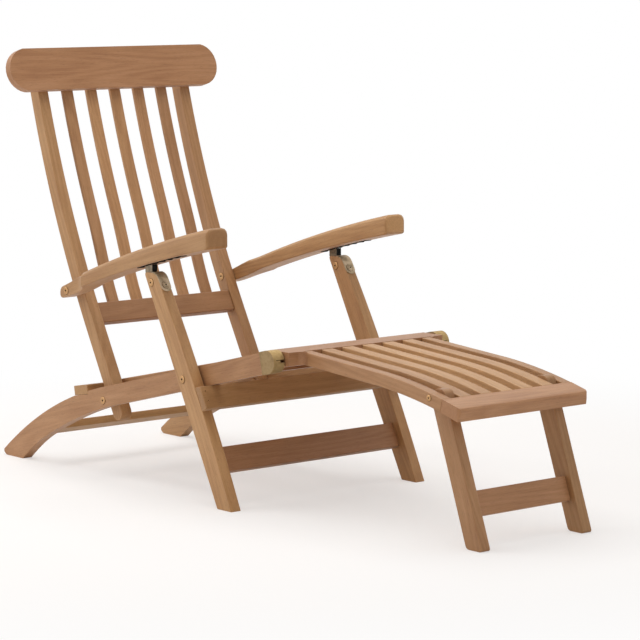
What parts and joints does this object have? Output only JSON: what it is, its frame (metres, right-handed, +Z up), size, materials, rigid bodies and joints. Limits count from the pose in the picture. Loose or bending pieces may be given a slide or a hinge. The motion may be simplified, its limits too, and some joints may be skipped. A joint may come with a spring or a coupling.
{
  "type": "folding steamer deck chair",
  "caption": "Folding wooden lounge chair with a slatted seat, bent slatted back, headboard, arms that rest on racks, and an arched slatted footrest on folding legs.",
  "frame": {"origin": "on the floor, under the middle of the whole chair's bounding box", "axes": "+X towards the footrest end, +Y to the sitter's left, +Z up"},
  "size_m": [1.59, 0.6, 0.9764],
  "materials": {
    "teak": "sanded, unoiled, satin",
    "teak_shaded": "sanded, unoiled, satin",
    "brass": "brushed, slightly dulled",
    "dark_steel": "dark, oiled"
  },
  "bodies": {
    "seat_frame": {"seat_rail_left": "teak", "seat_rail_right": "teak", "rail_cap_left": "brass", "rail_cap_right": "brass", "seat_rear_board": "teak", "seat_middle_bearer": "teak_shaded", "seat_front_bearer": "teak_shaded", "heel_bar": "teak_shaded", "seat_slat_1": "teak", "seat_slat_2": "teak", "seat_slat_3": "teak", "seat_slat_4": "teak", "seat_slat_5": "teak", "seat_slat_6": "teak"},
    "recline_rivets": {"recline_rivet_left": "brass", "recline_rivet_right": "brass"},
    "backrest": {"back_stile_left": "teak", "back_stile_right": "teak", "headboard": "teak", "back_lower_rail": "teak_shaded", "back_slat_1": "teak", "back_slat_2": "teak", "back_slat_3": "teak", "back_slat_4": "teak", "back_slat_5": "teak"},
    "arm_rivets": {"arm_rivet_left": "brass", "arm_rivet_right": "brass"},
    "arms": {"arm_left": "teak", "arm_right": "teak", "arm_rack_left": "dark_steel", "arm_rack_right": "dark_steel"},
    "front_legs": {"front_leg_left": "teak", "front_leg_right": "teak", "leg_catch_left": "dark_steel", "leg_catch_right": "dark_steel", "leg_plate_left": "brass", "leg_plate_right": "brass", "leg_rivet_left": "brass", "leg_rivet_right": "brass", "catch_pin_left": "brass", "catch_pin_right": "brass", "stop_board": "teak_shaded", "leg_stretcher": "teak_shaded"},
    "footrest": {"footrest_side_left": "teak", "footrest_side_right": "teak", "footrest_rear_rail": "teak", "footrest_front_rail": "teak", "footrest_slat_1": "teak", "footrest_slat_2": "teak", "footrest_slat_3": "teak", "footrest_slat_4": "teak", "footrest_slat_5": "teak", "footrest_pin_left": "brass", "footrest_pin_right": "brass", "footrest_rivet_left": "brass", "footrest_rivet_right": "brass"},
    "footrest_legs": {"footrest_leg_left": "teak", "footrest_leg_right": "teak", "footrest_stretcher": "teak_shaded"}
  },
  "joints": [
    {"name": "fold", "type": "hinge", "parent": "seat_frame", "child": "recline_rivets", "pos_m": [-0.37616, 0, 0.1794], "axis": [0, 1, 0], "range_deg": [0, 78]},
    {"name": "recline", "type": "hinge", "parent": "recline_rivets", "child": "backrest", "pos_m": [-0.37616, 0, 0.1794], "axis": [0, 1, 0], "range_deg": [-20, 0]},
    {"name": "arm_lift", "type": "hinge", "parent": "backrest", "child": "arm_rivets", "pos_m": [-0.50006, 0, 0.4227], "axis": [0, 1, 0], "range_deg": [-86.5, 0]},
    {"name": "arm_swing", "type": "hinge", "parent": "arm_rivets", "child": "arms", "pos_m": [-0.50006, 0, 0.4227], "axis": [0, 1, 0], "range_deg": [0, 15]},
    {"name": "leg_fold", "type": "hinge", "parent": "seat_frame", "child": "front_legs", "pos_m": [-0.02886, 0, 0.2696], "axis": [0, 1, 0], "range_deg": [0, 85]},
    {"name": "footrest_slide", "type": "slide", "parent": "seat_frame", "child": "footrest", "axis": [1, 0, 0], "range_m": [0, 0.06]},
    {"name": "footrest_leg_fold", "type": "hinge", "parent": "footrest", "child": "footrest_legs", "pos_m": [0.66724, 0, 0.299], "axis": [0, 1, 0], "range_deg": [0, 110]}
  ],
  "couplings": [
    {"joint": "leg_fold", "follows": "fold", "ratio": 1.08},
    {"joint": "arm_lift", "follows": "fold", "ratio": -1.1},
    {"joint": "arm_swing", "follows": "recline", "ratio": -0.745}
  ]
}
